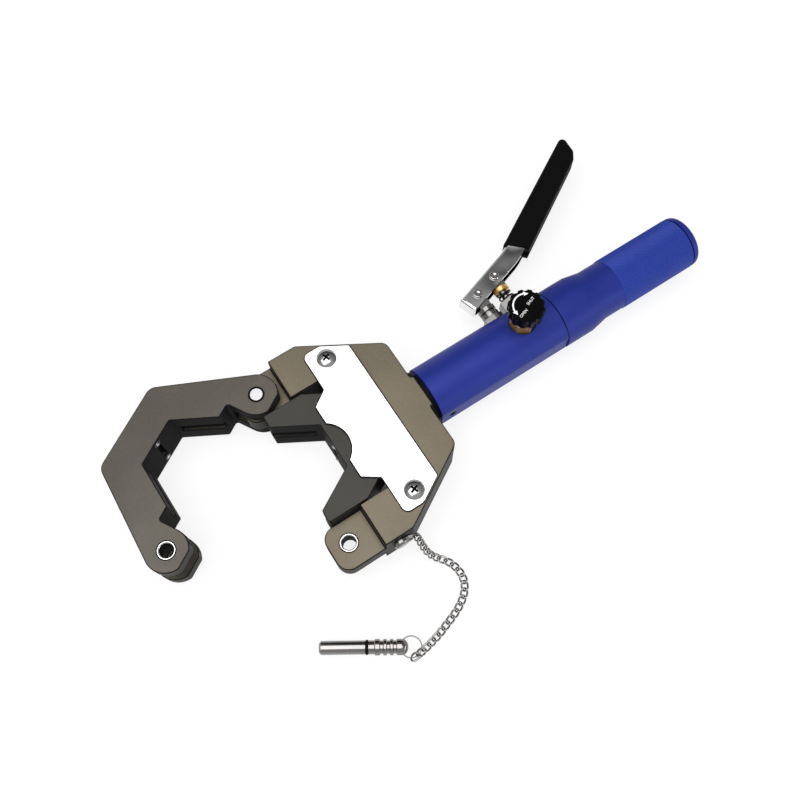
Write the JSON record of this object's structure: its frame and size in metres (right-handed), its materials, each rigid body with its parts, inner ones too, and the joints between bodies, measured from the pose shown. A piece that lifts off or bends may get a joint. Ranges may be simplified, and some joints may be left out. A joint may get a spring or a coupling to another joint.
{
  "type": "hydraulic hose crimper",
  "caption": "Hand-pumped hydraulic hose crimper: a C-shaped jaw swings open on a pin, a sliding ram carries the other half-hexagon die seat, a lever pumps, a lock pin hangs on a chain.",
  "frame": {"origin": "where the hydraulic axis crosses the line through the hinge pin and the lock hole, in the head's middle plane", "axes": "+X along the hydraulic axis to the handle, +Y to the hinge ear and the pump lever, +Z out of the front cover plate"},
  "size_m": [0.4358, 0.2573, 0.0687],
  "materials": {
    "head": "satin phosphated steel",
    "jaw": "satin phosphated steel",
    "ram": "satin blackened steel",
    "plate": "ground",
    "steel": "bright",
    "chrome": "polished",
    "blue": "satin anodised",
    "dark_steel": "oiled",
    "brass": "machined",
    "grip": "matte dipped",
    "knob": "gloss",
    "seal": "matte"
  },
  "bodies": {
    "frame": {"head_yoke": "head", "front_cover_plate": "plate", "back_cover_plate": "plate", "cover_screws": "steel", "hinge_bush": "steel", "lock_bush": "steel", "rod_bush": "brass", "return_spring": "dark_steel", "cylinder_seal": "seal", "pump_body": "blue", "body_set_screw": "dark_steel", "inlet_ball": "steel", "inlet_spring": "dark_steel", "inlet_retainer": "steel", "outlet_ball": "steel", "outlet_spring": "dark_steel", "outlet_retainer": "steel", "handle_tube": "blue", "end_cap": "blue", "cap_seal": "seal", "oil_bladder": "seal", "pivot_post": "steel", "gland_nut": "steel", "plunger_seal": "seal", "pump_spring": "dark_steel", "release_body": "brass", "chain_screw": "steel", "chain_eyelet": "steel", "chain": "steel", "split_ring": "steel"},
    "jaw": {"jaw": "jaw", "hinge_pin": "steel", "tip_bushes": "steel", "jaw_detent_sleeves": "steel"},
    "jaw_balls": {"jaw_detent_balls": "steel"},
    "ram": {"ram": "ram", "ram_detent_sleeves": "steel", "piston_rod": "chrome", "piston_seal": "seal"},
    "ram_balls": {"ram_detent_balls": "steel"},
    "lever": {"lever_channel": "chrome", "lever_grip": "grip", "pivot_rivet": "steel", "plunger_rivet": "steel"},
    "plunger": {"plunger": "chrome", "plunger_collar": "brass"},
    "knob": {"release_knob": "knob", "release_needle": "steel"},
    "lock_pin": {"lock_pin": "steel", "lock_pin_oring": "seal"}
  },
  "joints": [
    {"name": "jaw_hinge", "type": "hinge", "parent": "frame", "child": "jaw", "pos_m": [0, 0.058, 0], "axis": [0, 0, 1], "range_deg": [-31, 59]},
    {"name": "ram_slide", "type": "slide", "parent": "frame", "child": "ram", "axis": [-1, 0, 0], "range_m": [0, 0.0096], "stiffness_N_per_m": 4000, "springref_m": -0.006, "deforming": ["return_spring"]},
    {"name": "lever_hinge", "type": "hinge", "parent": "frame", "child": "lever", "pos_m": [0.17, 0.0432, 0], "axis": [0, 0, 1], "range_deg": [-28, 0], "stiffness_Nm_per_rad": 1, "springref_deg": 17.19},
    {"name": "plunger_slide", "type": "slide", "parent": "frame", "child": "plunger", "axis": [0, 1, 0], "range_m": [-0.0092, 0], "deforming": ["pump_spring"]},
    {"name": "knob_turn", "type": "hinge", "parent": "frame", "child": "knob", "pos_m": [0.1785, 0.0038, 0], "axis": [0, 0, 1], "range_deg": [0, 270]},
    {"name": "jaw_detent", "type": "slide", "parent": "jaw", "child": "jaw_balls", "axis": [-0.515, 0.8572, 0], "range_m": [0, 0.0008], "stiffness_N_per_m": 2000, "springref_m": -0.001},
    {"name": "ram_detent", "type": "slide", "parent": "ram", "child": "ram_balls", "axis": [1, 0, 0], "range_m": [0, 0.0008], "stiffness_N_per_m": 2000, "springref_m": -0.001},
    {"name": "lock_pin_swing", "type": "hinge", "parent": "frame", "child": "lock_pin", "pos_m": [-0.00534, -0.12915, -0.0175], "axis": [0.5327, 0.8463, 0], "range_deg": [0, 75]}
  ],
  "couplings": [
    {"joint": "plunger_slide", "follows": "lever_hinge", "m_per_rad": 0.018398}
  ]
}
